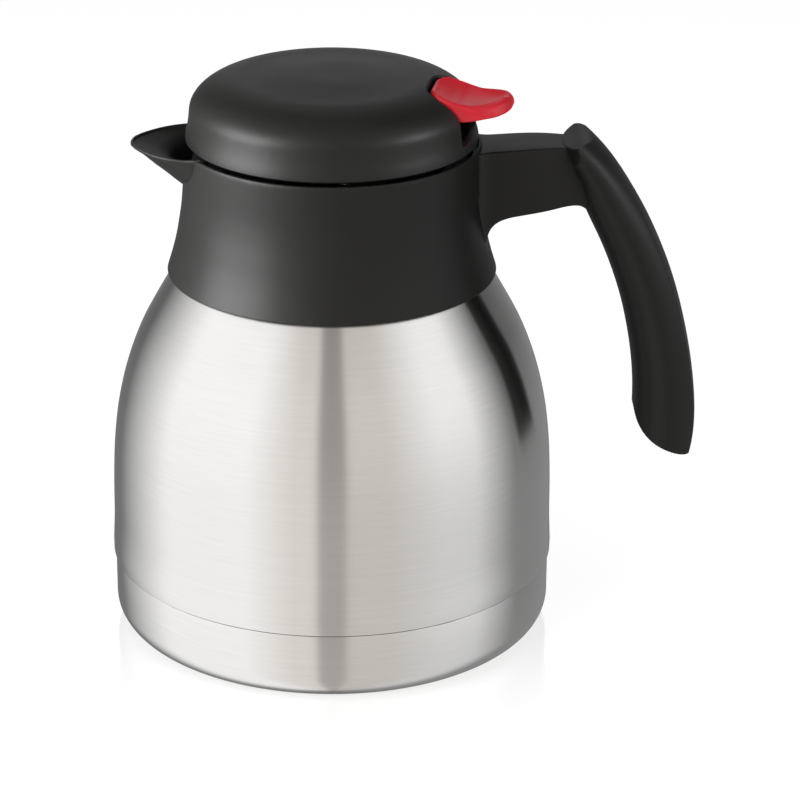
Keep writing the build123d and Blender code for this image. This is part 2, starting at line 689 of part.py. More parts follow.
def thumb_lever():
    pad = loft([pad_section(*row) for row in PAD_STATIONS])
    web_top = 167.0
    web = Pos(33.5, 0, (PIVOT_Z + web_top) / 2) * Box(6.0, 11.0, web_top - PIVOT_Z)
    boss = Pos(PIVOT_S, 0, PIVOT_Z) * Rot(90, 0, 0) * Cylinder(BOSS_R, 2 * EAR_IN - 0.8)
    arm_plan = [(PIVOT_S, -5.6), (6.0, -5.6), (-2.5, -5.6), (-2.5, -FORK_IN), (6.0, -FORK_IN),
                (8.5, 0), (6.0, FORK_IN), (-2.5, FORK_IN), (-2.5, 5.6), (6.0, 5.6), (PIVOT_S, 5.6)]
    bar = Pos(0, 0, FORK_Z - 1.0) * extrude(make_face(Polyline(*arm_plan, close=True).edges()), 2.0)
    body = pad + web + boss + bar
    for side in (-1, 1):
        y = side * (FORK_IN + FORK_T / 2)
        body += Pos(0, y, FORK_Z) * Rot(90, 0, 0) * Cylinder(FORK_R, FORK_T)
    body -= Pos(PIVOT_S, 0, PIVOT_Z) * Rot(90, 0, 0) * Cylinder(PIN_R + PIN_CLEARANCE, 40)
    return lid_frame(body)


def valve_rod():
    return tube(ROD_R, 0, VALVE_Z - 1.0, ROD_TOP_Z)


def rod_head():
    """Disc clipped on the rod's top end; the lever's fork lifts it."""
    return tube(HEAD_R, ROD_R, ROD_TOP_Z - HEAD_T, ROD_TOP_Z)


def valve_disc():
    disc = tube(VALVE_R, ROD_R, VALVE_Z, VALVE_Z + VALVE_T)
    hub = tube(VALVE_HUB_R, ROD_R, VALVE_Z + VALVE_T, VALVE_HUB_Z)
    return disc + hub


def valve_seal():
    return tube(SEAL_PAD_R, ROD_R, PLUG_BASE_Z + PLUG_BASE_T + 0.05, VALVE_Z)


def valve_spring():
    z0 = VALVE_Z + VALVE_T + SPRING_WIRE_R + 0.05
    z1 = SPRING_TOP_Z - SPRING_WIRE_R
    height = z1 - z0
    path = Pos(0, 0, z0) * Helix(height / SPRING_TURNS, height, SPRING_R)
    start = path @ 0
    tangent = path % 0
    profile = Plane(origin=start, z_dir=tangent) * Circle(SPRING_WIRE_R)
    return sweep(profile, path, is_frenet=True)


PARTS = {
    "outer_shell": outer_shell,
    "base_cup": base_cup,
    "outer_bottom": outer_bottom,
    "vacuum_seal": vacuum_seal,
    "inner_liner": inner_liner,
    "getter": getter,
    "collar": collar,
    "neck_ring": neck_ring,
    "neck_gasket": neck_gasket,
    "grip_front": grip_front,
    "grip_back": grip_back,
    "handle_screws": handle_screws,
    "lid_dome": lid_dome,
    "lid_plug": lid_plug,
    "lid_screws": lid_screws,
    "plug_gasket": plug_gasket,
    "thumb_lever": thumb_lever,
    "lever_pin": lever_pin,
    "valve_rod": valve_rod,
    "rod_head": rod_head,
    "valve_disc": valve_disc,
    "valve_seal": valve_seal,
    "valve_spring": valve_spring,
}

if __name__ == "__main__":
    os.makedirs("parts", exist_ok=True)
    for name, make in PARTS.items():
        export_step(make(), f"parts/{name}.step")
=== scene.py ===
"""Thermal carafe with a press-lever pouring lid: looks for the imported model.

Laid out as an add-on: settings, one operator for each group of pieces, one panel.
Outlines are in millimetres, and MM turns them into metres.
"""
import math

import bmesh
import bpy
from mathutils import Matrix, Vector


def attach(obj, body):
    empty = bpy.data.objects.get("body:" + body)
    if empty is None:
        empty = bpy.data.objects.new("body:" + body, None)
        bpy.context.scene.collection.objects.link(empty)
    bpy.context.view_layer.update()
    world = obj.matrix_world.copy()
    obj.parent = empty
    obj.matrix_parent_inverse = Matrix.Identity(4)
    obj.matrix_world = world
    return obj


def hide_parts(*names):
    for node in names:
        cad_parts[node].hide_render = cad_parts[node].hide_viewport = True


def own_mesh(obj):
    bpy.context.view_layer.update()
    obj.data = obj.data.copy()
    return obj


bl_info = {
    "name": "Thermal Carafe",
    "version": (1, 0, 0),
    "blender": (4, 5, 0),
    "location": "View3D > Sidebar > Carafe",
    "description": "Builds a brushed steel thermal carafe with a press-lever lid",
    "category": "Object",
}

MM = 0.001
MERGE_GAP = 0.002 * MM
SHARP_ANGLE = 35.0
# Where the usual values of a noise texture start and end
NOISE_SPAN = {"From_Min": 0.3, "From_Max": 0.7}
BRUSH_ANISOTROPY = 0.9
BRUSH_CONTRAST = 0.025
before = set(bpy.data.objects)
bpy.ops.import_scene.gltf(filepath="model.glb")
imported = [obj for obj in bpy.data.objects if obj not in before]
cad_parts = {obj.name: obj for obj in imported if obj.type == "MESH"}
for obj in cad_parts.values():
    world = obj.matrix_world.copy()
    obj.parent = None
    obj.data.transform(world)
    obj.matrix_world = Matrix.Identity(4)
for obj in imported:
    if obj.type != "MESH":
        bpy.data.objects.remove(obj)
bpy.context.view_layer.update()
LID_YAW = math.radians(-11.0)

# (radius, height) up the outside of the steel body, from its seam with the base cup
SHELL_OUTLINE = [
    (67.8, 23.4), (67.8, 26), (67.45, 34), (67.3, 46), (66.75, 58), (65.3, 70), (62.5, 82),
    (58.3, 93.5), (53.1, 103.5), (47.6, 113), (44.9, 117), (42.2, 120.3), (39.5, 123.6), (38.3, 126),
]
SHELL_WALL = 0.7
SHELL_SEAM_Z = 22.4
NECK_R = 38.0
NECK_LIP_Z = 135.4
CUP_R = 67.15
CUP_WALL = 0.8
CUP_CORNER_R = 7.9
CUP_TOP_Z = 22.0
FOOT_RING_R = 54.0
FOOT_RECESS = 1.4

# Collar: half of the spout's lip seen from above, from its root to its tip
SPOUT_LIP = [
    (-38.0, 19.9), (-42.9, 18.4), (-47.0, 16.9), (-50.0, 15.2), (-52.7, 13.1), (-55.2, 10.4),
    (-57.5, 7.2), (-59.2, 3.9), (-59.9, 0.0),
]
# (x, how far the lip lies below the collar's rim there)
SPOUT_SAG = [(-60.0, 0.6), (-52.0, 0.95), (-44.0, 1.0), (-40.0, 0.6), (-38.0, 0.2)]
# (height, reach of the tip, share of the lip's width, share of that width kept near the tip, inset,
# share of the sag)
SPOUT_FLANKS = [
    (137.8, -42.6, 0.12, 1.0, 0, 0), (138.8, -43.8, 0.20, 0.9, 0, 0), (141.5, -47.0, 0.52, 0.55, 0, 0),
    (144.0, -49.8, 0.80, 0.45, 0, 0), (147.0, -53.5, 0.93, 0.58, 0, 0),
    (150.4, -57.2, 0.98, 0.82, 0, 0), (152.6, -59.6, 1.0, 0.97, 0, 0.8), (153.3, -59.9, 1.0, 1.0, 0, 1),
    (153.65, -59.9, 1.0, 1.0, 0.2, 1),
]
SPOUT_HOLLOW = [
    (141.5, -43.5, 0.30, 1.0, 0, 0), (144.0, -45.0, 0.50, 1.0, 0, 0), (147.5, -47.3, 0.70, 0.9, 0.6, 0),
    (150.0, -50.5, 0.85, 0.9, 1.3, 0.3), (151.5, -54.0, 0.93, 0.9, 1.3, 0.7),
    (152.5, -57.3, 0.97, 0.97, 1.2, 0.9), (153.2, -59.9, 1.0, 1.0, 1.1, 1),
    (153.75, -59.9, 1.0, 1.0, 0.75, 1), (156.0, -59.9, 1.0, 1.0, 0.75, 0),
]
WALL_MIDDLE_R = 43.2
# (radius, height) of what is cut from the collar's rim: a groove under the lid, a rounded lip outside
RIM_CUT = [
    (41.4, 156), (41.4, 150.5), (43.8, 150.5), (43.8, 153.45), (44.05, 153.42), (44.3, 153.28),
    (44.46, 153.05), (44.54, 152.7), (46, 152.7), (46, 156),
]
COLLAR_LEAST_VOLUME = 40000 * MM ** 3
RIM_CUT_HALF_ANGLES = (149.5, 148.7, 150.3, 147.9)
RIM_Z = 153.5
ROUND_FLATS = 180
# The core keeps the flanks outside the middle of the collar's wall
CORE_Z = (130, 156)
# The sloping cut that lowers the rim at the spout: from its far end to its root, its top and its half width
SLOPE_X = (-62, -38)
SLOPE_STEPS = 48
SLOPE_TOP_Z = 158
SLOPE_HALF_WIDTH = 30

# Thumb pad sections, in the lid's own frame:
# (outwards, half width of the crest, crest height, dish depth, half width of the skirt, skirt height)
PAD_SECTIONS = [
    (29.9, 1.6, 170.2, 0.0, 3.2, 168.9), (30.1, 3.0, 171.3, 0.05, 5.6, 168.2),
    (30.6, 4.4, 172.0, 0.2, 8.0, 167.3), (31.3, 6.0, 172.25, 0.5, 9.4, 166.8),
    (32.3, 8.0, 172.15, 0.9, 10.3, 166.4), (33.6, 9.4, 171.85, 1.15, 10.9, 165.8),
    (36.0, 10.2, 170.95, 1.35, 11.3, 165.1), (38.0, 10.3, 170.35, 1.45, 11.4, 164.8),
    (40.0, 10.1, 169.75, 1.5, 11.4, 164.55), (43.0, 9.1, 169.25, 1.5, 11.3, 164.85),
    (45.0, 8.3, 169.3, 1.5, 11.0, 165.2), (47.0, 7.5, 169.5, 1.4, 10.6, 165.6),
    (49.0, 6.2, 169.8, 1.2, 9.9, 165.9), (50.5, 4.7, 170.05, 0.8, 9.1, 166.15),
    (51.6, 3.0, 170.3, 0.4, 8.0, 166.4), (52.6, 1.5, 170.15, 0.1, 6.6, 166.6),
    (53.5, 0.9, 169.6, 0.0, 4.7, 166.9), (54.0, 0.5, 168.9, 0.0, 3.0, 167.2),
    (54.15, 0.3, 168.2, 0.0, 1.4, 167.6),
]
PIVOT_S = 33.0
PIVOT_Z = 160.8
PIN_BORE_R = 1.56
BOSS_R = 3.2
BOSS_HALF = 6.2
FORK_HALF = 5.6
FORK_IN = 3.0
FORK_R = 1.4
FORK_REACH = -2.5
FORK_ROOT = 30.8
FORK_CROTCH = (6.0, 8.5)
FORK_HALF_T = 1.0
# The web between the boss and the pad: (outwards, sideways) of its corners, and its heights
WEB_OUTLINE = [(30.5, -5.5), (36.5, -5.5), (36.5, 5.5), (30.5, 5.5)]
WEB_Z = (163.2, 167.6)
BOSS_FLATS = 40


def linear(hex_colour):
    """sRGB hex value as a linear colour."""
    out = []
    for i in (0, 2, 4):
        c = int(hex_colour[i:i + 2], 16) / 255
        out.append(c / 12.92 if c <= 0.04045 else ((c + 0.055) / 1.055) ** 2.4)
    return tuple(out)


def add(tree, kind, settings=None, **links):
    """Add one node: settings are its properties, and links fill its inputs by name, or by place as i0, i1."""
    made = tree.nodes.new(kind)
    for key, value in (settings or {}).items():
        setattr(made, key, value)
    for key, value in links.items():
        by_place = key[0] == "i" and key[1:].isdigit()
        socket = made.inputs[int(key[1:])] if by_place else made.inputs[key.replace("_", " ")]
        if isinstance(value, bpy.types.NodeSocket):
            tree.links.new(value, socket)
        else:
            socket.default_value = value
    return made


# ------------------------------------------------------------------ settings

class CarafeSteelSettings(bpy.types.PropertyGroup):
    colour: bpy.props.FloatVectorProperty(
        name="Steel colour", description="Reflected colour of the brushed steel", subtype="COLOR",
        default=linear("dcdbda"))
    roughness: bpy.props.FloatProperty(
        name="Roughness", description="Roughness of the brushed steel", default=0.2, min=0, max=1,
        subtype="FACTOR")
    brush_spacing: bpy.props.FloatProperty(
        name="Brush spacing", description="Distance between brush lines", default=0.26 * MM, unit="LENGTH")
    brush_length: bpy.props.FloatProperty(
        name="Brush length", description="Length of a brush line", default=9.0 * MM, unit="LENGTH")
    segments: bpy.props.IntProperty(
        name="Segments", description="Flats round the steel body", default=192, min=24)


class CarafePlasticSettings(bpy.types.PropertyGroup):
    colour: bpy.props.FloatVectorProperty(
        name="Plastic colour", description="Colour of the moulded body plastic", subtype="COLOR",
        default=linear("161615"))
    roughness: bpy.props.FloatProperty(
        name="Roughness", description="Roughness of the moulded plastic", default=0.42, min=0, max=1,
        subtype="FACTOR")
    gloss: bpy.props.FloatProperty(
        name="Gloss", description="Specular level of the moulded plastic", default=0.25, min=0, max=1,
        subtype="FACTOR")
    grain: bpy.props.FloatProperty(
        name="Grain", description="Size of the spark-eroded grain", default=0.3 * MM, unit="LENGTH")
    lever_colour: bpy.props.FloatVectorProperty(
        name="Lever colour", description="Colour of the thumb lever", subtype="COLOR",
        default=linear("d41a2c"))
    lever_gloss: bpy.props.FloatProperty(
        name="Lever gloss", description="Specular level of the thumb lever", default=0.55, min=0, max=1,
        subtype="FACTOR")


class CarafeHardwareSettings(bpy.types.PropertyGroup):
    handle_screw_pitch: bpy.props.FloatProperty(
        name="Handle screw pitch", description="Distance between the two handle screws", default=6.4 * MM,
        unit="LENGTH")
    lid_screw_orbit: bpy.props.FloatProperty(
        name="Lid screw orbit", description="Radius of the circle of lid screws", default=36.0 * MM,
        unit="LENGTH")


class CarafeStageSettings(bpy.types.PropertyGroup):
    lens: bpy.props.FloatProperty(name="Lens", description="Camera lens, in millimetres", default=150.12)
    ambient: bpy.props.FloatProperty(name="Ambient", description="Level of the even light", default=0.55)


# ----------------------------------------------------------------- materials

def new_material(name):
    material = bpy.data.materials.new(name)
    material.use_nodes = True
    tree = material.node_tree
    return material, tree, tree.nodes["Principled BSDF"]


def tinted(tree, colour, pattern, low, high):
    """The colour, from low to high times as bright where the pattern goes from dark to light."""
    share = add(tree, "ShaderNodeMapRange", None, Value=pattern, To_Min=low, To_Max=high, **NOISE_SPAN)
    return add(tree, "ShaderNodeVectorMath", {"operation": "SCALE"}, i0=tuple(colour), Scale=share.outputs[0])


def brushed_steel(name, roughness):
    """18/8 stainless steel, turned against an abrasive belt: lines run round it, so highlights stretch upright.

    Real brush lines are finer than the brush spacing. They are drawn coarser, so that they show.
    """
    s = bpy.context.scene.carafe_steel
    material, tree, shader = new_material(name)
    shader.inputs["Metallic"].default_value = 1.0
    shader.inputs["Roughness"].default_value = roughness
    shader.inputs["Anisotropic"].default_value = BRUSH_ANISOTROPY
    shader.inputs["Anisotropic Rotation"].default_value = 0.25
    tangent = add(tree, "ShaderNodeTangent", {"direction_type": "RADIAL", "axis": "Z"})
    tree.links.new(tangent.outputs[0], shader.inputs["Tangent"])
    where = add(tree, "ShaderNodeTexCoord").outputs["Object"]
    along = 1.0 / s.brush_length
    stretched = add(tree, "ShaderNodeMapping", None, Vector=where,
                    Scale=(along, along, 1.0 / s.brush_spacing))
    lines = add(tree, "ShaderNodeTexNoise", None, Vector=stretched.outputs[0], Scale=1.0, Detail=2.0,
                Roughness=0.55)
    bump = add(tree, "ShaderNodeBump", None, Height=lines.outputs[0], Strength=0.3, Distance=0.002 * MM)
    tree.links.new(bump.outputs[0], shader.inputs["Normal"])
    wide = add(tree, "ShaderNodeMapping", None, Vector=where,
               Scale=(along / 3, along / 3, 0.3 / s.brush_spacing))
    bands = add(tree, "ShaderNodeTexNoise", None, Vector=wide.outputs[0], Scale=1.0, Detail=2.0)
    both = add(tree, "ShaderNodeMath", {"operation": "MULTIPLY_ADD"}, i0=bands.outputs[0], i1=0.4, i2=0.0)
    mixed = add(tree, "ShaderNodeMath", {"operation": "MULTIPLY_ADD"}, i0=lines.outputs[0], i1=0.6,
                i2=both.outputs[0])
    scaled = tinted(tree, s.colour, mixed.outputs[0], 1 - BRUSH_CONTRAST, 1 + BRUSH_CONTRAST)
    tree.links.new(scaled.outputs[0], shader.inputs["Base Color"])
    return material


def plain_metal(name, colour, roughness):
    """Drawn or turned steel, cleaned but not brushed: even, slightly clouded."""
    material, tree, shader = new_material(name)
    shader.inputs["Metallic"].default_value = 1.0
    where = add(tree, "ShaderNodeTexCoord").outputs["Object"]
    cloud = add(tree, "ShaderNodeTexNoise", None, Vector=where, Scale=1 / (4 * MM), Detail=3.0)
    worn = add(tree, "ShaderNodeMapRange", None, Value=cloud.outputs[0], To_Min=roughness * 0.85,
               To_Max=roughness * 1.15, **NOISE_SPAN)
    tree.links.new(worn.outputs[0], shader.inputs["Roughness"])
    scaled = tinted(tree, colour, cloud.outputs[0], 0.94, 1.04)
    tree.links.new(scaled.outputs[0], shader.inputs["Base Color"])
    return material


def moulded_plastic(name, colour, roughness, gloss):
    """Polypropylene moulded in a spark-eroded tool: satin, with a very fine even grain.

    The real grain is finer than the grain size. It is drawn coarser, so that it shows.
    """
    material, tree, shader = new_material(name)
    shader.inputs["IOR"].default_value = 1.49
    shader.inputs["Specular IOR Level"].default_value = gloss
    grain_size = bpy.context.scene.carafe_plastic.grain
    where = add(tree, "ShaderNodeTexCoord").outputs["Object"]
    grain = add(tree, "ShaderNodeTexNoise", None, Vector=where, Scale=1 / grain_size, Detail=2.0)
    bump = add(tree, "ShaderNodeBump", None, Height=grain.outputs[0], Strength=0.15, Distance=0.01 * MM)
    tree.links.new(bump.outputs[0], shader.inputs["Normal"])
    cloud = add(tree, "ShaderNodeTexNoise", None, Vector=where, Scale=1 / (18 * MM), Detail=3.0)
    polish = add(tree, "ShaderNodeMapRange", None, Value=cloud.outputs[0], To_Min=roughness * 0.94,
                 To_Max=roughness * 1.06, **NOISE_SPAN)
    tree.links.new(polish.outputs[0], shader.inputs["Roughness"])
    scaled = tinted(tree, colour, cloud.outputs[0], 0.95, 1.05)
    tree.links.new(scaled.outputs[0], shader.inputs["Base Color"])
    return material


def moulded_silicone(name, colour):
    """Translucent silicone rubber, compression moulded: soft sheen and a little light through it."""
    material, tree, shader = new_material(name)
    shader.inputs["IOR"].default_value = 1.41
    shader.inputs["Roughness"].default_value = 0.5
    shader.inputs["Subsurface Weight"].default_value = 0.2
    shader.inputs["Subsurface Radius"].default_value = (2 * MM, 2 * MM, 2 * MM)
    shader.inputs["Subsurface Scale"].default_value = 1.0
    where = add(tree, "ShaderNodeTexCoord").outputs["Object"]
    cloud = add(tree, "ShaderNodeTexNoise", None, Vector=where, Scale=1 / (6 * MM), Detail=2.0)
    scaled = tinted(tree, colour, cloud.outputs[0], 0.95, 1.03)
    tree.links.new(scaled.outputs[0], shader.inputs["Base Color"])
    return material


def assign(obj, material):
    obj.data.materials.clear()
    obj.data.materials.append(material)


# -------------------------------------------------------------------- shapes

def smooth_line(points, steps=6):
    """Smooth curve through points of any number of values."""
    out = []
    last = len(points) - 1
    for i in range(last):
        p = [points[max(i - 1, 0)], points[i], points[i + 1], points[min(i + 2, last)]]
        for k in range(steps):
            t = k / steps
            out.append(tuple(
                0.5 * (2 * b + (c - a) * t + (2 * a - 5 * b + 4 * c - d) * t * t
                       + (3 * b - a - 3 * c + d) * t ** 3)
                for a, b, c, d in zip(*p)))
    out.append(tuple(points[-1]))
    return out


def inset(points, t):
    """Move a (radius, height) outline towards the axis by t, along its normals."""
    moved = []
    for i, (r, z) in enumerate(points):
        r0, z0 = points[max(i - 1, 0)]
        r1, z1 = points[min(i + 1, len(points) - 1)]
        length = math.hypot(r1 - r0, z1 - z0)
        moved.append((r - t * (z1 - z0) / length, z + t * (r1 - r0) / length))
    return moved


def quarter(cx, cz, r, start, end, steps=6):
    """Points of an arc in a (radius, height) outline, in degrees."""
    points = []
    for k in range(steps + 1):
        a = math.radians(start + (end - start) * k / steps)
        points.append((cx + r * math.cos(a), cz + r * math.sin(a)))
    return points


def outline_mesh(name, outline):
    """Loose points of a (radius, height) outline, in the XZ plane."""
    mesh = bpy.data.meshes.new(name)
    mesh.from_pydata([(r * MM, 0, z * MM) for r, z in outline], [], [])
    return mesh


def link_object(name, mesh):
    obj = bpy.data.objects.new(name, mesh)
    bpy.context.scene.collection.objects.link(obj)
    return obj


def node_tree(name, sockets):
    """A new geometry node tree with the given (name, socket type) inputs, and its input and output nodes."""
    tree = bpy.data.node_groups.new(name, "GeometryNodeTree")
    tree.is_modifier = True
    tree.interface.new_socket("Geometry", in_out="INPUT", socket_type="NodeSocketGeometry")
    for label, kind in sockets:
        tree.interface.new_socket(label, in_out="INPUT", socket_type=kind)
    tree.interface.new_socket("Geometry", in_out="OUTPUT", socket_type="NodeSocketGeometry")
    return tree, tree.nodes.new("NodeGroupInput").outputs, tree.nodes.new("NodeGroupOutput")


def finish_tree(tree, geometry, material, group_out):
    real = add(tree, "GeometryNodeRealizeInstances", None, Geometry=geometry)
    painted = add(tree, "GeometryNodeSetMaterial", None, Geometry=real.outputs[0], Material=material)
    tree.links.new(painted.outputs[0], group_out.inputs[0])
    return tree


def grown(name, mesh, tree, values):
    """The plain mesh that a tree makes of a mesh, as a new object with no modifier."""
    obj = link_object(name, mesh)
    modifier = obj.modifiers.new("grow", "NODES")
    modifier.node_group = tree
    for item in tree.interface.items_tree:
        if item.in_out == "INPUT" and item.name in values:
            modifier[item.identifier] = values[item.name]
    graph = bpy.context.evaluated_depsgraph_get()
    result = bpy.data.meshes.new_from_object(obj.evaluated_get(graph), preserve_all_data_layers=True,
                                             depsgraph=graph)
    obj.modifiers.remove(modifier)
    obj.data = result
    result.name = name
    return obj


def turning_tree():
    """Turns a closed outline about Z: a grid is rolled round the axis, one row to each outline point."""
    tree, given, out = node_tree("turned_on_a_lathe", (
        ("Segments", "NodeSocketInt"), ("Sharp Angle", "NodeSocketFloat"),
        ("Material", "NodeSocketMaterial")))
    size = add(tree, "GeometryNodeAttributeDomainSize", None, Geometry=given["Geometry"])
    count = size.outputs["Point Count"]
    columns = add(tree, "ShaderNodeMath", {"operation": "ADD"}, i0=given["Segments"], i1=1.0)
    rows = add(tree, "ShaderNodeMath", {"operation": "ADD"}, i0=count, i1=1.0)
    grid = add(tree, "GeometryNodeMeshGrid", None, Size_X=1.0, Size_Y=1.0, Vertices_X=columns.outputs[0],
               Vertices_Y=rows.outputs[0])
    place = add(tree, "GeometryNodeInputPosition").outputs[0]
    split = add(tree, "ShaderNodeSeparateXYZ", None, Vector=place)
    turn = add(tree, "ShaderNodeMath", {"operation": "MULTIPLY_ADD"}, i0=split.outputs["X"], i1=2 * math.pi,
               i2=math.pi)
    upward = add(tree, "ShaderNodeMath", {"operation": "ADD"}, i0=split.outputs["Y"], i1=0.5)
    row = add(tree, "ShaderNodeMath", {"operation": "MULTIPLY"}, i0=upward.outputs[0], i1=count)
    whole = add(tree, "ShaderNodeMath", {"operation": "ROUND"}, i0=row.outputs[0])
    point = add(tree, "ShaderNodeMath", {"operation": "MODULO"}, i0=whole.outputs[0], i1=count)
    sample = add(tree, "GeometryNodeSampleIndex", {"data_type": "FLOAT_VECTOR", "domain": "POINT"},
                 Geometry=given["Geometry"], Value=place, Index=point.outputs[0])
    outline = add(tree, "ShaderNodeSeparateXYZ", None, Vector=sample.outputs[0])
    cosine = add(tree, "ShaderNodeMath", {"operation": "COSINE"}, i0=turn.outputs[0])
    sine = add(tree, "ShaderNodeMath", {"operation": "SINE"}, i0=turn.outputs[0])
    x = add(tree, "ShaderNodeMath", {"operation": "MULTIPLY"}, i0=outline.outputs["X"], i1=cosine.outputs[0])
    y = add(tree, "ShaderNodeMath", {"operation": "MULTIPLY"}, i0=outline.outputs["X"], i1=sine.outputs[0])
    rolled = add(tree, "ShaderNodeCombineXYZ", None, X=x.outputs[0], Y=y.outputs[0], Z=outline.outputs["Z"])
    moved = add(tree, "GeometryNodeSetPosition", None, Geometry=grid.outputs["Mesh"],
                Position=rolled.outputs[0])
    joined = add(tree, "GeometryNodeMergeByDistance", None, Geometry=moved.outputs[0], Distance=MERGE_GAP)
    faces = add(tree, "GeometryNodeInputMeshEdgeNeighbors").outputs["Face Count"]
    stray = add(tree, "FunctionNodeCompare", {"data_type": "FLOAT", "operation": "LESS_THAN"}, i0=faces,
                i1=0.5)
    clean = add(tree, "GeometryNodeDeleteGeometry", {"domain": "EDGE", "mode": "EDGE_FACE"},
                Geometry=joined.outputs[0], Selection=stray.outputs[0])
    soft = add(tree, "GeometryNodeSetShadeSmooth", {"domain": "FACE"}, Geometry=clean.outputs[0])
    bend = add(tree, "GeometryNodeInputMeshEdgeAngle").outputs["Unsigned Angle"]
    sharp = add(tree, "FunctionNodeCompare", {"data_type": "FLOAT", "operation": "GREATER_THAN"}, i0=bend,
                i1=given["Sharp Angle"])
    crisp = add(tree, "GeometryNodeSetShadeSmooth", {"domain": "EDGE"}, Geometry=soft.outputs[0],
                Selection=sharp.outputs[0], Shade_Smooth=False)
    return finish_tree(tree, crisp.outputs[0], given["Material"], out)


def fastening_tree():
    """Sets the same screw at even steps along a line, or round a circle."""
    tree, given, out = node_tree("row_of_screws", (
        ("Count", "NodeSocketInt"), ("Start", "NodeSocketVector"), ("Step", "NodeSocketVector"),
        ("Orbit", "NodeSocketFloat"), ("First Angle", "NodeSocketFloat"), ("Angle Step", "NodeSocketFloat"),
        ("Tilt", "NodeSocketFloat"), ("Material", "NodeSocketMaterial")))
    line = add(tree, "GeometryNodeMeshLine", {"mode": "OFFSET"}, Count=given["Count"],
               Start_Location=given["Start"], Offset=given["Step"])
    number = add(tree, "GeometryNodeInputIndex").outputs[0]
    angle = add(tree, "ShaderNodeMath", {"operation": "MULTIPLY_ADD"}, i0=number, i1=given["Angle Step"],
                i2=given["First Angle"])
    cosine = add(tree, "ShaderNodeMath", {"operation": "COSINE"}, i0=angle.outputs[0])
    sine = add(tree, "ShaderNodeMath", {"operation": "SINE"}, i0=angle.outputs[0])
    way = add(tree, "ShaderNodeCombineXYZ", None, X=cosine.outputs[0], Y=sine.outputs[0])
    reach = add(tree, "ShaderNodeVectorMath", {"operation": "SCALE"}, i0=way.outputs[0], Scale=given["Orbit"])
    spots = add(tree, "GeometryNodeSetPosition", None, Geometry=line.outputs[0], Offset=reach.outputs[0])
    lean = add(tree, "ShaderNodeCombineXYZ", None, Y=given["Tilt"])
    copies = add(tree, "GeometryNodeInstanceOnPoints", None, Points=spots.outputs[0],
                 Instance=given["Geometry"], Rotation=lean.outputs[0])
    return finish_tree(tree, copies.outputs[0], given["Material"], out)


def ring_skin(mesh, rings, ends):
    """Faces between rings of equal count; the ends are a fan, one flat face each, or joined to each other."""
    made = [[mesh.verts.new(p) for p in ring] for ring in rings]
    count = len(rings[0])
    pairs = list(zip(made, made[1:] + made[:1])) if ends == "joined" else list(zip(made, made[1:]))
    for low, high in pairs:
        for k in range(count):
            mesh.faces.new((low[k], low[(k + 1) % count], high[(k + 1) % count], high[k]))
    if ends == "flat":
        mesh.faces.new(made[0][::-1])
        mesh.faces.new(made[-1])
    if ends == "fan":
        for ring, flip in ((made[0], True), (made[-1], False)):
            middle = mesh.verts.new(sum((v.co for v in ring), Vector()) / count)
            for k in range(count):
                face = (ring[k], ring[(k + 1) % count], middle)
                mesh.faces.new(face[::-1] if flip else face)


def finished(name, mesh):
    """Mesh data of a bmesh, with outward faces and crisp edges where it bends most."""
    bmesh.ops.recalc_face_normals(mesh, faces=mesh.faces[:])
    for face in mesh.faces:
        face.smooth = True
    for edge in mesh.edges:
        edge.smooth = len(edge.link_faces) != 2 or edge.calc_face_angle(0.0) < math.radians(SHARP_ANGLE)
    data = bpy.data.meshes.new(name)
    mesh.to_mesh(data)
    mesh.free()
    return data


def solid_from(name, mesh, material):
    """Finish a bmesh as an object."""
    obj = link_object(name, finished(name, mesh))
    assign(obj, material)
    return obj


def rounded_slab(mesh, outline, low, high, edge):
    """Upright slab of an outline with its edges rounded by edge."""
    part = bmesh.new()
    bottom = [part.verts.new((s * MM, t * MM, low * MM)) for s, t in outline]
    base = part.faces.new(bottom)
    risen = bmesh.ops.extrude_face_region(part, geom=[base])
    top = [v for v in risen["geom"] if isinstance(v, bmesh.types.BMVert)]
    bmesh.ops.translate(part, verts=top, vec=(0, 0, (high - low) * MM))
    bmesh.ops.recalc_face_normals(part, faces=part.faces[:])
    bmesh.ops.bevel(part, geom=part.edges[:], offset=edge * MM, segments=2, profile=0.5, affect="EDGES",
                    clamp_overlap=True)
    joined = bpy.data.meshes.new("slab")
    part.to_mesh(joined)
    part.free()
    mesh.from_mesh(joined)
    bpy.data.meshes.remove(joined)


# --------------------------------------------------------------- steel body

def shell_outline():
    outer = smooth_line(SHELL_OUTLINE)
    inner = smooth_line(inset(SHELL_OUTLINE, SHELL_WALL))
    inner[-1] = (NECK_R - SHELL_WALL, 126.3)
    r = SHELL_OUTLINE[0][0]
    lip = quarter(r - 0.3, SHELL_SEAM_Z + 0.3, 0.3, -90, 0, 4)
    top = NECK_LIP_Z
    neck = [(NECK_R, 127.5), (NECK_R, top), (NECK_R - SHELL_WALL, top)]
    return [(r - SHELL_WALL, SHELL_SEAM_Z)] + lip + outer + neck + inner[::-1]


def cup_outline():
    r = CUP_R
    c = CUP_CORNER_R
    w = CUP_WALL
    f = FOOT_RING_R
    outer = [(0, FOOT_RECESS), (f, FOOT_RECESS), (f + 0.6, FOOT_RECESS * 0.75), (f + 1.5, 0.2), (f + 2.2, 0)]
    outer += quarter(r - c, c, c, -90, 0, 12)
    rim = quarter(r - 0.25, CUP_TOP_Z - 0.25, 0.25, 0, 90, 3)
    inner = [(r - w, CUP_TOP_Z)] + quarter(r - c, c, c - w, 0, -90, 10)
    inner += [(f + 2.4, w), (f + 0.4, FOOT_RECESS + w), (0, FOOT_RECESS + w)]
    return outer + rim + inner


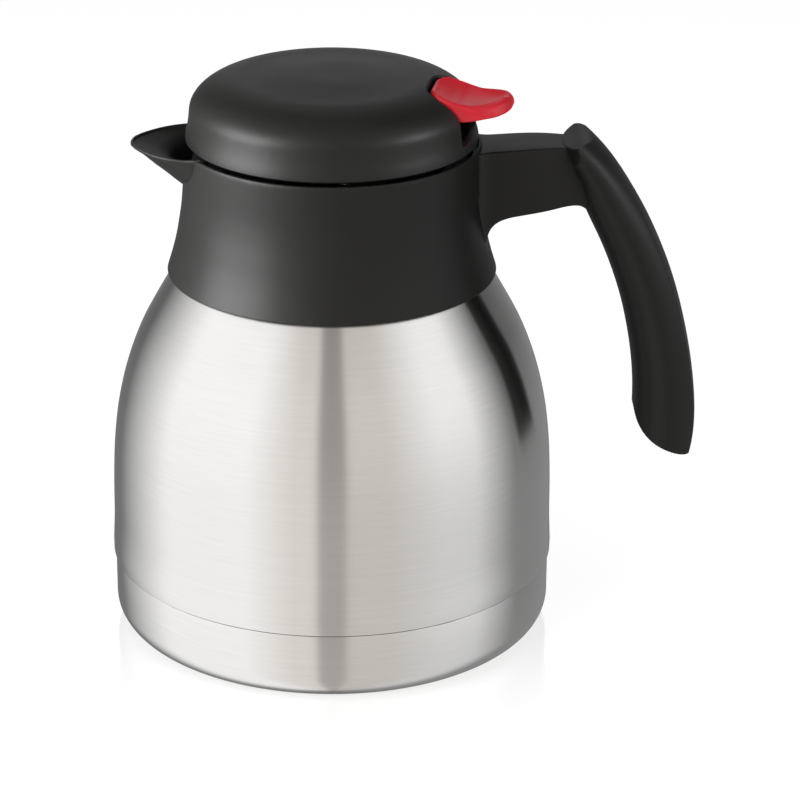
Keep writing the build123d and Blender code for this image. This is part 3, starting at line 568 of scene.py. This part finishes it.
class CARAFE_OT_steel_body(bpy.types.Operator):
    """Turn the brushed steel body and the base cup"""
    bl_idname = "carafe.steel_body"
    bl_label = "Steel body"

    def execute(self, context):
        s = context.scene.carafe_steel
        tree = turning_tree()
        values = {"Segments": s.segments, "Sharp Angle": math.radians(30)}
        values["Material"] = brushed_steel("stainless_steel_brushed", s.roughness)
        shell = grown("steel_shell", outline_mesh("shell_outline", shell_outline()), tree, values)
        values["Material"] = brushed_steel("stainless_steel_brushed_cup", s.roughness)
        cup = grown("steel_cup", outline_mesh("cup_outline", cup_outline()), tree, values)
        for piece, node in ((shell, "outer_shell"), (cup, "base_cup")):
            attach(piece, "flask")
            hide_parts(node)
        return {"FINISHED"}


# -------------------------------------------------------------------- collar

def sag(x):
    """How far the spout's lip lies below the rim at x."""
    for (x0, d0), (x1, d1) in zip(SPOUT_SAG, SPOUT_SAG[1:]):
        if x <= x1:
            break
    t = min(max((x - x0) / (x1 - x0), 0.0), 1.0)
    return d0 + (d1 - d0) * t * t * (3 - 2 * t)


def spout_ring(z, tip, share, kept, moved_in, sunk):
    """Outline of the spout at one height: the lip drawn in to a tip and a share of its width."""
    root, full = SPOUT_LIP[0]
    reach = (tip - root) / (SPOUT_LIP[-1][0] - root)
    half = [(root + (x - root) * reach, y * share * (kept + (1 - kept) * y / full)) for x, y in SPOUT_LIP]
    both = smooth_line(half + [(x, -y) for x, y in half[-2::-1]], 5)
    return [(x * MM, y * MM, (z - sunk * sag(x)) * MM) for x, y in inset(both, moved_in)]


def rolled(profile, start, end, flats):
    """Rings of a (radius, height) profile at even steps of angle, in degrees."""
    rings = []
    for k in range(flats + 1):
        a = math.radians(start + (end - start) * k / flats)
        rings.append([(r * math.cos(a) * MM, r * math.sin(a) * MM, z * MM) for r, z in profile])
    return rings


def merged(node):
    """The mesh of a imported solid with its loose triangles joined."""
    mesh = bmesh.new()
    mesh.from_mesh(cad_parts[node].data)
    bmesh.ops.remove_doubles(mesh, verts=mesh.verts[:], dist=0.001 * MM)
    return mesh


def solid_of(name, rings, ends="flat"):
    mesh = bmesh.new()
    ring_skin(mesh, rings, ends)
    return solid_from(name, mesh, None)


def combined(obj, other, operation):
    """Join another solid to the object or cut it away, and keep the result as a plain mesh."""
    modifier = obj.modifiers.new("combine", "BOOLEAN")
    modifier.operation = operation
    modifier.solver = "EXACT"
    modifier.object = other
    graph = bpy.context.evaluated_depsgraph_get()
    result = bpy.data.meshes.new_from_object(obj.evaluated_get(graph), depsgraph=graph)
    obj.modifiers.remove(modifier)
    obj.data = result
    bpy.data.objects.remove(other)


def is_whole(mesh):
    """True when every edge joins two faces and the mesh still holds most of the collar's plastic."""
    return all(len(e.link_faces) == 2 for e in mesh.edges) and abs(mesh.calc_volume()) > COLLAR_LEAST_VOLUME


class CARAFE_OT_collar(bpy.types.Operator):
    """Thin the spout's lip, widen its flanks and groove the rim under the lid"""
    bl_idname = "carafe.collar"
    bl_label = "Collar"

    def execute(self, context):
        p = context.scene.carafe_plastic
        work = solid_from("collar_work", merged("collar"), None)
        flanks = solid_of("flanks", [spout_ring(*row) for row in SPOUT_FLANKS], "fan")
        core = [[(WALL_MIDDLE_R * math.cos(a) * MM, WALL_MIDDLE_R * math.sin(a) * MM, z * MM)
                 for a in (2 * math.pi * k / ROUND_FLATS for k in range(ROUND_FLATS))] for z in CORE_Z]
        combined(flanks, solid_of("core", core), "DIFFERENCE")
        far, root = SLOPE_X
        steps = [far + (root - far) * k / SLOPE_STEPS for k in range(SLOPE_STEPS + 1)]
        side = [(x, RIM_Z - sag(x)) for x in steps] + [(root, SLOPE_TOP_Z), (far, SLOPE_TOP_Z)]
        slope = solid_of("slope", [[(x * MM, y * MM, z * MM) for x, z in side]
                                   for y in (-SLOPE_HALF_WIDTH, SLOPE_HALF_WIDTH)])
        combined(work, slope, "DIFFERENCE")
        combined(work, flanks, "UNION")
        combined(work, solid_of("hollow", [spout_ring(*row) for row in SPOUT_HOLLOW]), "DIFFERENCE")
        for half_angle in RIM_CUT_HALF_ANGLES:
            trial = link_object("collar_trial", work.data.copy())
            rim = rolled(RIM_CUT, -half_angle, half_angle, ROUND_FLATS)
            combined(trial, solid_of("rim", rim), "DIFFERENCE")
            mesh = bmesh.new()
            mesh.from_mesh(trial.data)
            bpy.data.objects.remove(trial)
            bmesh.ops.remove_doubles(mesh, verts=mesh.verts[:], dist=MERGE_GAP)
            if is_whole(mesh):
                break
        else:
            raise RuntimeError("the cuts in the collar's rim left it open")
        bpy.data.objects.remove(work)
        black = moulded_plastic("polypropylene_black_collar", p.colour, p.roughness, p.gloss)
        collar = solid_from("collar_body", mesh, black)
        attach(collar, "flask")
        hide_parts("collar")
        return {"FINISHED"}


# --------------------------------------------------------------- thumb lever

def pad_ring(s, crest_half, crest_z, dish, low_half, low_z):
    """Closed section of the thumb pad: dished top, crest, rolled side, flared skirt, hollow underside."""
    half = []
    for k in range(11):
        u = k / 11
        half.append((crest_half * u, crest_z - dish * (1 - u ** 2.4)))
    step = min(0.16, crest_half * 0.2)
    half += [(crest_half - step, crest_z - 0.05), (crest_half, crest_z), (crest_half + step, crest_z - 0.07)]
    drop = crest_z - low_z
    reach = low_half - crest_half
    roll = min(max(reach, 1.2), drop * 0.55)
    foot = min(0.5, drop * 0.2)
    for k in range(1, 9):
        a = math.radians(6 + 84 * k / 8)
        half.append((crest_half + step + (reach * 0.8 - step) * math.sin(a),
                     crest_z - 0.07 - roll * (1 - math.cos(a))))
    side_z = half[-1][1]
    for k in range(1, 5):
        u = k / 4
        half.append((crest_half + reach * (0.8 + 0.2 * u), side_z + (low_z + foot - side_z) * u))
    half += [(low_half - foot * 0.3, low_z + foot * 0.3), (low_half - foot, low_z)]
    wall = min(1.6, low_half * 0.4)
    depth = max(min(crest_z - dish - low_z - 2.2, 2.4), 0.0) * min(max((s - 37.5) / 1.5, 0), 1)
    inner = low_half - wall
    half += [(inner, low_z), (inner - 0.15, low_z + depth * 0.5), (inner - 0.35, low_z + depth),
             (0, low_z + depth)]
    ring = [(s * MM, t * MM, z * MM) for t, z in half]
    ring += [(s * MM, -t * MM, z * MM) for t, z in half[-2:0:-1]]
    return ring


def lever_mesh():
    mesh = bmesh.new()
    ring_skin(mesh, [pad_ring(*row) for row in smooth_line(PAD_SECTIONS, 7)], "fan")
    profile = [(BOSS_R - 0.3, -BOSS_HALF), (BOSS_R, 0.3 - BOSS_HALF), (BOSS_R, BOSS_HALF - 0.3),
               (BOSS_R - 0.3, BOSS_HALF), (PIN_BORE_R, BOSS_HALF), (PIN_BORE_R, -BOSS_HALF)]
    rings = []
    for k in range(BOSS_FLATS):
        a = 2 * math.pi * k / BOSS_FLATS
        rings.append([((PIVOT_S + r * math.cos(a)) * MM, t * MM, (PIVOT_Z + r * math.sin(a)) * MM)
                      for r, t in profile])
    ring_skin(mesh, rings, "joined")
    rounded_slab(mesh, WEB_OUTLINE, *WEB_Z, 0.4)
    wide, deep = FORK_CROTCH
    fork = [(FORK_ROOT, -FORK_HALF), (FORK_REACH, -FORK_HALF), (FORK_REACH, -FORK_IN), (wide, -FORK_IN),
            (deep, 0), (wide, FORK_IN), (FORK_REACH, FORK_IN), (FORK_REACH, FORK_HALF),
            (FORK_ROOT, FORK_HALF)]
    rounded_slab(mesh, fork[::-1], PIVOT_Z - FORK_HALF_T, PIVOT_Z + FORK_HALF_T, 0.3)
    for side in (-1, 1):
        rings = []
        for t in (FORK_IN, FORK_HALF):
            rings.append([(FORK_R * math.cos(a) * MM, side * t * MM, (PIVOT_Z + FORK_R * math.sin(a)) * MM)
                          for a in (2 * math.pi * k / 24 for k in range(24))])
        ring_skin(mesh, rings if side > 0 else rings[::-1], "fan")
    bmesh.ops.rotate(mesh, verts=mesh.verts[:], cent=(0, 0, 0), matrix=Matrix.Rotation(LID_YAW, 3, "Z"))
    return mesh


class CARAFE_OT_thumb_lever(bpy.types.Operator):
    """Shape the red thumb lever with its rim, dish, skirt and fork"""
    bl_idname = "carafe.thumb_lever"
    bl_label = "Thumb lever"

    def execute(self, context):
        p = context.scene.carafe_plastic
        red = moulded_plastic("polypropylene_red_moulded", p.lever_colour, p.roughness * 0.75, p.lever_gloss)
        lever = solid_from("lever_pad", lever_mesh(), red)
        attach(lever, "lever")
        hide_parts("thumb_lever")
        return {"FINISHED"}


# -------------------------------------------------------------------- spring

class CARAFE_OT_spring(bpy.types.Operator):
    """Coil spring of the valve, with a steel wire finish"""
    bl_idname = "carafe.spring"
    bl_label = "Valve spring"

    def execute(self, context):
        wire = plain_metal("stainless_steel_spring_wire", linear("c9c9c7"), 0.25)
        spring = solid_from("valve_coil", merged("valve_spring"), wire)
        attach(spring, "lid")
        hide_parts("valve_spring")
        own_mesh(spring)
        return {"FINISHED"}


# -------------------------------------------------------------------- screws

SCREW_FLATS = 32
THREAD_PITCH = 1.05
THREAD_ROOT = 0.78
# Radius of the shank, radius and height of the head, length under the head
HANDLE_SCREW = (1.6, 2.6, 1.6, 14.6)
LID_SCREW = (1.5, 2.7, 1.6, 8.0)


def screw_mesh(name, shank_r, head_r, head_h, length):
    """Pan-head screw along +Z with its head on top, a cross recess and a pointed, threaded shank."""
    mesh = bmesh.new()
    turns = 2 * math.pi / SCREW_FLATS
    root_r = shank_r * THREAD_ROOT
    profile = [(0.15, -length), (shank_r * 0.8, -length + 1.2)]
    z = -length + 1.6
    while z < -1.4:
        profile += [(shank_r, z), (root_r, z + 0.45), (root_r, z + 0.6)]
        z += THREAD_PITCH
    profile += [(root_r, 0.0), (head_r - 0.15, 0.0), (head_r, 0.2), (head_r, head_h * 0.45),
                (head_r * 0.9, head_h * 0.8), (head_r * 0.62, head_h)]
    rings = [[(r * math.cos(turns * k) * MM, r * math.sin(turns * k) * MM, z * MM) for k in range(SCREW_FLATS)]
             for r, z in profile]
    arm = head_r * 0.5
    slot = head_r * 0.13
    for reach, z in ((1.0, head_h), (0.92, head_h * 0.45)):
        ring = []
        for k in range(SCREW_FLATS):
            a = turns * k
            c = math.cos(a)
            s = math.sin(a)
            cross = min(arm, max(slot / max(abs(s), 0.05), slot / max(abs(c), 0.05)))
            ring.append((cross * reach * c * MM, cross * reach * s * MM, z * MM))
        rings.append(ring)
    ring_skin(mesh, rings, "fan")
    return finished(name, mesh)


class CARAFE_OT_screws(bpy.types.Operator):
    """Set the handle screws and the lid screws"""
    bl_idname = "carafe.screws"
    bl_label = "Screws"

    def execute(self, context):
        h = context.scene.carafe_hardware
        tree = fastening_tree()
        zinc = plain_metal("zinc_plated_steel", linear("b9bcbe"), 0.3)
        handle = grown("handle_fixings", screw_mesh("screw_long", *HANDLE_SCREW), tree, {
            "Count": 2, "Start": (79.52 * MM, 0, 138.0 * MM), "Step": (-1.92 * MM, 0, h.handle_screw_pitch),
            "Orbit": 0.0, "First Angle": 0.0, "Angle Step": 0.0, "Tilt": math.radians(90), "Material": zinc})
        lid = grown("lid_fixings", screw_mesh("screw_short", *LID_SCREW), tree, {
            "Count": 3, "Start": (0, 0, 154.3 * MM), "Step": (0, 0, 0), "Orbit": h.lid_screw_orbit,
            "First Angle": LID_YAW + math.radians(90), "Angle Step": math.radians(90),
            "Tilt": math.radians(180), "Material": zinc})
        for piece, node, body in ((handle, "handle_screws", "flask"), (lid, "lid_screws", "lid")):
            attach(piece, body)
            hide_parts(node)
        return {"FINISHED"}


# --------------------------------------------------------------------- stage

# The studio as metal and plastic see it, in degrees round from the camera's side towards the handle:
# (from, to, low level, high level, warmth) of each panel. Between two panels the levels blend.
STUDIO_PANELS = (
    (-180, -170, 0.2, 0.5, 0),  # pale backdrop
    (-160, -145, 0.2, 0.1, 0),  # dark gap behind the left softbox
    (-95, -45, 1.2, 1.3, 0),    # left softbox
    (-20, -9, 0.9, 0.9, 1),     # white card left of the camera
    (-6, 6, 0.5, 0.4, 1),       # grey flag in front of the camera
    (9, 30, 0.7, 0.8, 1),       # white card right of the camera
    (60, 80, 0.8, 1.2, 0),      # right softbox, brighter at its top
    (110, 160, 0.3, 0.1, 0),    # dark gap behind the handle
    (170, 180, 0.2, 0.5, 0),    # pale backdrop
)
STUDIO_GAIN = 1.4
WARM_SHIFT = (0.04, 0.0, -0.06)
# (sine of the height, level)
STUDIO_RISE = [(-1.0, 1.0), (0.62, 1.0), (0.85, 0.45), (1.0, 0.3)]
AMBIENT_RISE = [(-1.0, 1.0), (0.35, 1.0), (0.75, 0.35), (1.0, 0.25)]
# (name, place, width, height, power, pieces that it lights; all of them when there are none)
LAMPS = [
    ("softbox_left", (-0.9, -0.9, 0.6), 0.9, 0.9, 7, ()),
    ("softbox_right", (0.9, -0.8, 0.6), 0.8, 0.8, 5, ()),
    ("softbox_top", (0.0, 0.0, 1.3), 1.0, 1.0, 3, ()),
    ("strip_left", (-0.62, -0.23, 0.28), 0.54, 0.50, 11, ("collar_body", "lid_dome")),
    ("strip_right", (0.60, -0.22, 0.34), 0.30, 0.20, 1.8, ("lid_dome",)),
    ("strip_side", (0.60, -0.22, 0.34), 0.30, 0.20, 0.6, ("grip_front", "grip_back")),
]
LAMP_AIM = (0, 0, 0.14)
FLOOR_GREY = 0.55
FLOOR_GLOW = 0.72
FLOOR_MIRROR = 0.2
MIRROR_FADE = (40 * MM, 135 * MM)
CAMERA_PLACE = (0.0, -0.94466, 0.46440)
CAMERA_TILT = math.radians(67.31)
CAMERA_SHIFT = 0.0851


def tone(level, warmth=0.0):
    """A grey of the level, turned warmer by warmth."""
    return tuple(level * (1 + warmth * shift) for shift in WARM_SHIFT)


def panel_stops(height):
    """Ramp stops at both edges of every panel, for its low level (0) or its high level (1)."""
    return [((edge + 180) / 360, tone(levels[height] / STUDIO_GAIN, warmth))
            for start, end, *levels, warmth in STUDIO_PANELS for edge in (start, end)]


def fill_ramp(elements, stops):
    """Give a colour ramp its (position, colour) stops."""
    elements[0].position, elements[1].position = 0.0, 1.0
    for position, _ in stops[1:-1]:
        elements.new(position)
    for element, (position, colour) in zip(elements, stops):
        element.position = position
        element.color = (*colour, 1)


def make_floor():
    """White acrylic sheet: plain white, with a mirror image that fades away from the jug."""
    bpy.ops.mesh.primitive_circle_add(vertices=128, radius=3.0, fill_type="NGON")
    floor = bpy.context.object
    floor.name = "floor"
    material, tree, shader = new_material("acrylic_white_cast")
    shader.inputs["Base Color"].default_value = (FLOOR_GREY, FLOOR_GREY, FLOOR_GREY, 1)
    shader.inputs["Roughness"].default_value = 1.0
    shader.inputs["Specular IOR Level"].default_value = 0.0
    rays = add(tree, "ShaderNodeLightPath")
    seen = add(tree, "ShaderNodeMath", {"operation": "MAXIMUM"}, i0=rays.outputs["Is Camera Ray"],
               i1=rays.outputs["Is Glossy Ray"])
    level = add(tree, "ShaderNodeMath", {"operation": "MULTIPLY"}, i0=seen.outputs[0], i1=FLOOR_GLOW)
    glow = add(tree, "ShaderNodeEmission", None, Color=(1, 1, 1, 1), Strength=level.outputs[0])
    plain = add(tree, "ShaderNodeAddShader", None, i0=shader.outputs[0], i1=glow.outputs[0])
    mirror = add(tree, "ShaderNodeBsdfAnisotropic", None, Color=(1, 1, 1, 1), Roughness=0.0)
    where = add(tree, "ShaderNodeTexCoord").outputs["Object"]
    away = add(tree, "ShaderNodeVectorMath", {"operation": "LENGTH"}, i0=where)
    fade = add(tree, "ShaderNodeMapRange", {"interpolation_type": "SMOOTHSTEP"}, Value=away.outputs["Value"],
               From_Min=MIRROR_FADE[0], From_Max=MIRROR_FADE[1], To_Min=FLOOR_MIRROR, To_Max=0.0)
    both = add(tree, "ShaderNodeMixShader", None, i0=fade.outputs[0], i1=plain.outputs[0],
               i2=mirror.outputs[0])
    tree.links.new(both.outputs[0], tree.nodes["Material Output"].inputs["Surface"])
    floor.data.materials.append(material)
    floor.visible_glossy = False


def make_world(scene):
    """Soft panels round the jug as metal and plastic see them, even light for everything else."""
    world = bpy.data.worlds.new("studio")
    scene.world = world
    world.use_nodes = True
    tree = world.node_tree
    tree.nodes.clear()
    rays = add(tree, "ShaderNodeLightPath").outputs
    where = add(tree, "ShaderNodeTexCoord").outputs["Generated"]
    parts = add(tree, "ShaderNodeSeparateXYZ", None, Vector=where).outputs
    back = add(tree, "ShaderNodeMath", {"operation": "MULTIPLY"}, i0=parts["Y"], i1=-1.0)
    angle = add(tree, "ShaderNodeMath", {"operation": "ARCTAN2"}, i0=parts["X"], i1=back.outputs[0])
    turn = add(tree, "ShaderNodeMapRange", None, Value=angle.outputs[0], From_Min=-math.pi, From_Max=math.pi)
    up = add(tree, "ShaderNodeMapRange", None, Value=parts["Z"], From_Min=-1.0, From_Max=1.0)
    ramps = []
    for place, stops in (
            (turn, panel_stops(0)), (turn, panel_stops(1)),
            (up, [((h + 1) / 2, tone(v)) for h, v in STUDIO_RISE]),
            (up, [((h + 1) / 2, tone(v)) for h, v in AMBIENT_RISE])):
        ramp = add(tree, "ShaderNodeValToRGB", None, Fac=place.outputs[0])
        fill_ramp(ramp.color_ramp.elements, stops)
        ramps.append(ramp.outputs["Color"])
    low, high, rise, sky = ramps
    climb = add(tree, "ShaderNodeMapRange", {"interpolation_type": "SMOOTHSTEP"}, Value=parts["Z"],
                From_Min=-0.45, From_Max=0.25)
    walls = add(tree, "ShaderNodeMix", {"data_type": "RGBA"}, Factor=climb.outputs[0])
    tree.links.new(low, walls.inputs[6])
    tree.links.new(high, walls.inputs[7])
    bands = add(tree, "ShaderNodeVectorMath", {"operation": "MULTIPLY"}, i0=walls.outputs[2], i1=rise)
    glossy = add(tree, "ShaderNodeBackground", None, Color=bands.outputs[0], Strength=STUDIO_GAIN)
    plain = add(tree, "ShaderNodeBackground", None, Color=sky, Strength=scene.carafe_stage.ambient)
    white = add(tree, "ShaderNodeBackground", None, Color=(1, 1, 1, 1), Strength=1.0)
    first = add(tree, "ShaderNodeMixShader", None, i0=rays["Is Glossy Ray"], i1=plain.outputs[0],
                i2=glossy.outputs[0])
    clear = add(tree, "ShaderNodeMath", {"operation": "MAXIMUM"}, i0=rays["Is Camera Ray"],
                i1=rays["Is Transmission Ray"])
    sharp = add(tree, "ShaderNodeMath", {"operation": "MAXIMUM"}, i0=clear.outputs[0],
                i1=rays["Is Singular Ray"])
    second = add(tree, "ShaderNodeMixShader", None, i0=sharp.outputs[0], i1=first.outputs[0],
                 i2=white.outputs[0])
    add(tree, "ShaderNodeOutputWorld", None, Surface=second.outputs[0])


def make_lamps(scene):
    for name, place, width, height, power, pieces in LAMPS:
        lamp = bpy.data.lights.new(name, "AREA")
        lamp.shape = "RECTANGLE"
        lamp.size = width
        lamp.size_y = height
        lamp.energy = power
        obj = bpy.data.objects.new(name, lamp)
        obj.location = place
        obj.rotation_euler = (Vector(LAMP_AIM) - Vector(place)).to_track_quat("-Z", "Y").to_euler()
        obj.visible_glossy = bool(pieces)
        scene.collection.objects.link(obj)
        if pieces:
            lit = bpy.data.collections.new(name + "_lights")
            for piece in pieces:
                lit.objects.link(bpy.data.objects[piece])
            obj.light_linking.receiver_collection = lit


def make_camera(scene):
    data = bpy.data.cameras.new("camera")
    data.lens = scene.carafe_stage.lens
    data.sensor_width = 36.0
    data.shift_x = CAMERA_SHIFT
    camera = bpy.data.objects.new("camera", data)
    camera.location = CAMERA_PLACE
    camera.rotation_euler = (CAMERA_TILT, 0.0, 0.0)
    scene.collection.objects.link(camera)
    scene.camera = camera


class CARAFE_OT_stage(bpy.types.Operator):
    """Floor, lamps, surroundings and camera"""
    bl_idname = "carafe.stage"
    bl_label = "Stage"

    def execute(self, context):
        make_floor()
        make_world(context.scene)
        make_lamps(context.scene)
        make_camera(context.scene)
        return {"FINISHED"}


# ------------------------------------------------------------------ finishes

class CARAFE_OT_finishes(bpy.types.Operator):
    """Give every carried-over solid its finish"""
    bl_idname = "carafe.finishes"
    bl_label = "Finishes"

    def execute(self, context):
        p = context.scene.carafe_plastic
        finishes = (
            (moulded_plastic("polypropylene_black_moulded", p.colour, p.roughness, p.gloss),
             ("grip_front", "grip_back", "lid_dome")),
            (moulded_plastic("polypropylene_black_inner", linear("1f1f1f"), 0.5, p.gloss),
             ("neck_ring", "lid_plug", "rod_head", "valve_disc")),
            (moulded_silicone("silicone_grey_moulded", linear("8a8a88")),
             ("neck_gasket", "plug_gasket", "valve_seal")),
            (plain_metal("stainless_steel_drawn", linear("d6d5d2"), 0.2), ("inner_liner", "outer_bottom")),
            (plain_metal("stainless_steel_spring", linear("c9c9c7"), 0.25), ("valve_rod", "lever_pin")),
            (plain_metal("zirconium_alloy_pressed", linear("8d8a86"), 0.55), ("getter",)),
            (plain_metal("glass_solder_fused", linear("6f706c"), 0.4), ("vacuum_seal",)),
        )
        for material, names in finishes:
            for name in names:
                assign(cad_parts[name], material)
        return {"FINISHED"}


class CARAFE_PT_panel(bpy.types.Panel):
    """Lists the carafe's steps and settings"""
    bl_label = "Carafe"
    bl_idname = "CARAFE_PT_panel"
    bl_space_type = "VIEW_3D"
    bl_region_type = "UI"
    bl_category = "Carafe"

    def draw(self, context):
        for step in STEPS:
            self.layout.operator(step.bl_idname)
        for name, group in SETTINGS.items():
            box = self.layout.box()
            for setting in group.__annotations__:
                box.prop(getattr(context.scene, name), setting)


STEPS = (
    CARAFE_OT_finishes, CARAFE_OT_collar, CARAFE_OT_steel_body, CARAFE_OT_thumb_lever, CARAFE_OT_spring,
    CARAFE_OT_screws, CARAFE_OT_stage,
)
SETTINGS = {
    "carafe_steel": CarafeSteelSettings,
    "carafe_plastic": CarafePlasticSettings,
    "carafe_hardware": CarafeHardwareSettings,
    "carafe_stage": CarafeStageSettings,
}


def register():
    for name, group in SETTINGS.items():
        bpy.utils.register_class(group)
        setattr(bpy.types.Scene, name, bpy.props.PointerProperty(type=group))
    for step in STEPS:
        bpy.utils.register_class(step)
    bpy.utils.register_class(CARAFE_PT_panel)


def unregister():
    bpy.utils.unregister_class(CARAFE_PT_panel)
    for step in reversed(STEPS):
        bpy.utils.unregister_class(step)
    for name, group in SETTINGS.items():
        delattr(bpy.types.Scene, name)
        bpy.utils.unregister_class(group)


def main():
    register()
    bpy.context.scene.view_settings.view_transform = "Standard"
    bpy.ops.carafe.finishes()
    bpy.ops.carafe.collar()
    bpy.ops.carafe.steel_body()
    bpy.ops.carafe.thumb_lever()
    bpy.ops.carafe.spring()
    bpy.ops.carafe.screws()
    bpy.ops.carafe.stage()


if __name__ == "__main__":
    main()
